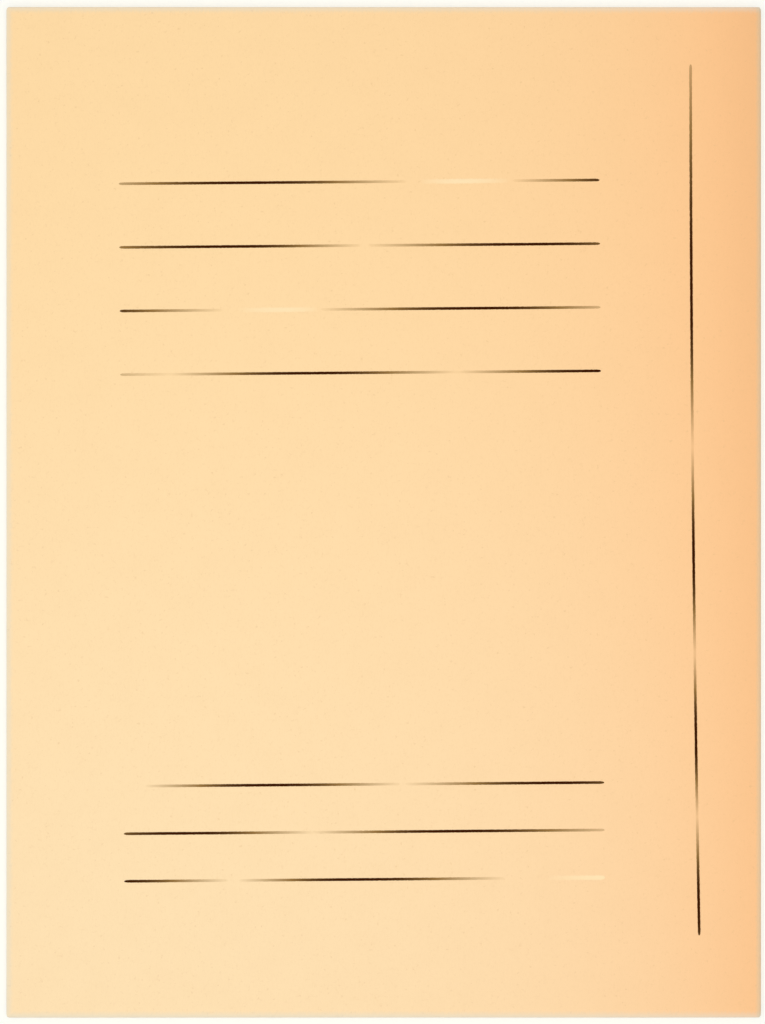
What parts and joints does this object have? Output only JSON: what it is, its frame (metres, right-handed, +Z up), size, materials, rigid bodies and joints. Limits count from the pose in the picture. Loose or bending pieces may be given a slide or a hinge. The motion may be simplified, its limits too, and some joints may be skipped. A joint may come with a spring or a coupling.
{
  "type": "file pocket",
  "caption": "Buff card file pocket for A4 papers: flat back, narrow spine with a front cover, and mitred flaps on low walls that fold in under the cover to hold the sheets.",
  "frame": {"origin": "centre of the underside of the closed pocket, on the surface that it lies on", "axes": "+X to the spine, +Y to the top edge of the front, +Z up out of the front cover"},
  "size_m": [0.239, 0.32, 0.007],
  "materials": {
    "manila_card": "matt buff manila card",
    "creased_card": "matt buff manila card, pressed into a crease bead"
  },
  "bodies": {
    "back": {"back_panel": "manila_card", "spine_back_crease": "creased_card", "top_wall_crease": "creased_card", "bottom_wall_crease": "creased_card", "side_wall_crease": "creased_card"},
    "spine": {"spine_panel": "manila_card", "spine_front_crease": "creased_card"},
    "cover": {"front_cover": "manila_card"},
    "top_wall": {"top_wall": "manila_card", "top_flap_crease": "creased_card"},
    "top_flap": {"top_flap": "manila_card"},
    "bottom_wall": {"bottom_wall": "manila_card", "bottom_flap_crease": "creased_card"},
    "bottom_flap": {"bottom_flap": "manila_card"},
    "side_wall": {"side_wall": "manila_card", "side_flap_crease": "creased_card"},
    "side_flap": {"side_flap": "manila_card"}
  },
  "joints": [
    {"name": "spine_fold", "type": "hinge", "parent": "back", "child": "spine", "pos_m": [0.11925, 0, 0.00025], "axis": [0, 1, 0], "range_deg": [0, 90]},
    {"name": "cover_fold", "type": "hinge", "parent": "spine", "child": "cover", "pos_m": [0.11925, 0, 0.00675], "axis": [0, 1, 0], "range_deg": [0, 90]},
    {"name": "top_wall_fold", "type": "hinge", "parent": "back", "child": "top_wall", "pos_m": [0.0005, 0.15875, 0.00025], "axis": [-1, 0, 0], "range_deg": [0, 90]},
    {"name": "top_flap_fold", "type": "hinge", "parent": "top_wall", "child": "top_flap", "pos_m": [0.0005, 0.15875, 0.00575], "axis": [-1, 0, 0], "range_deg": [0, 90]},
    {"name": "bottom_wall_fold", "type": "hinge", "parent": "back", "child": "bottom_wall", "pos_m": [0.0005, -0.15875, 0.00025], "axis": [1, 0, 0], "range_deg": [0, 90]},
    {"name": "bottom_flap_fold", "type": "hinge", "parent": "bottom_wall", "child": "bottom_flap", "pos_m": [0.0005, -0.15875, 0.00575], "axis": [1, 0, 0], "range_deg": [0, 90]},
    {"name": "side_wall_fold", "type": "hinge", "parent": "back", "child": "side_wall", "pos_m": [-0.11825, 0, 0.00025], "axis": [0, -1, 0], "range_deg": [0, 90]},
    {"name": "side_flap_fold", "type": "hinge", "parent": "side_wall", "child": "side_flap", "pos_m": [-0.11825, 0, 0.00575], "axis": [0, -1, 0], "range_deg": [0, 90]}
  ],
  "couplings": [
    {"joint": "spine_fold", "follows": "cover_fold", "ratio": 1},
    {"joint": "top_wall_fold", "follows": "cover_fold", "ratio": 1},
    {"joint": "top_flap_fold", "follows": "cover_fold", "ratio": 1},
    {"joint": "bottom_wall_fold", "follows": "cover_fold", "ratio": 1},
    {"joint": "bottom_flap_fold", "follows": "cover_fold", "ratio": 1},
    {"joint": "side_wall_fold", "follows": "cover_fold", "ratio": 1},
    {"joint": "side_flap_fold", "follows": "cover_fold", "ratio": 1}
  ]
}
